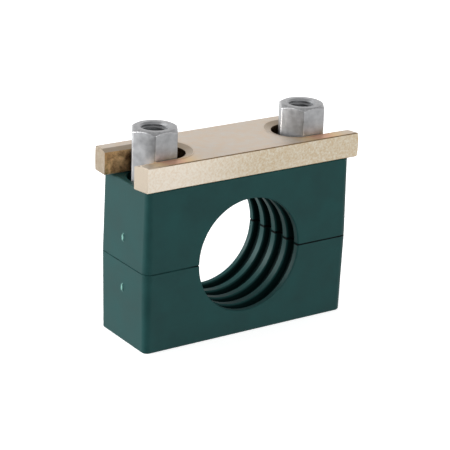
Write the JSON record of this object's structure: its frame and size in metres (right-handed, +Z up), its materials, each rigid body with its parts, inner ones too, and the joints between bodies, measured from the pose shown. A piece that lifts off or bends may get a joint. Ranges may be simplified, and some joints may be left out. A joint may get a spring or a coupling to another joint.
{
  "type": "hydraulic tube clamp",
  "caption": "Split moulded tube clamp with a ribbed bore, a slotted locking plate on top and long hexagonal stacking bolts.",
  "frame": {"origin": "middle of the base that stands on the weld plate or floor", "axes": "+X along the clamp through both bolts, +Y along the tube, +Z up through the halves to the bolts' hexagons"},
  "size_m": [0.0912, 0.031, 0.0774],
  "materials": {
    "green_moulding": "dark green moulded polypropylene, satin",
    "yellow_zinc_plate": "steel with pale yellow passivated zinc, mottled",
    "bright_zinc_bolt": "steel with bright zinc plating"
  },
  "bodies": {
    "lower_body": {"lower_clamp_half": "green_moulding"},
    "upper_body": {"upper_clamp_half": "green_moulding"},
    "plate_body": {"locking_plate": "yellow_zinc_plate"},
    "left_bolt_body": {"left_stacking_bolt": "bright_zinc_bolt"},
    "right_bolt_body": {"right_stacking_bolt": "bright_zinc_bolt"}
  },
  "joints": [
    {"name": "upper_half_lift", "type": "slide", "parent": "lower_body", "child": "upper_body", "axis": [0, 0, 1], "range_m": [0, 0.0284]},
    {"name": "locking_plate_lift", "type": "slide", "parent": "upper_body", "child": "plate_body", "axis": [0, 0, 1], "range_m": [0, 0.0182]},
    {"name": "left_bolt_lift", "type": "slide", "parent": "upper_body", "child": "left_bolt_body", "axis": [0, 0, 1], "range_m": [0, 0.048]},
    {"name": "right_bolt_lift", "type": "slide", "parent": "upper_body", "child": "right_bolt_body", "axis": [0, 0, 1], "range_m": [0, 0.048]}
  ]
}
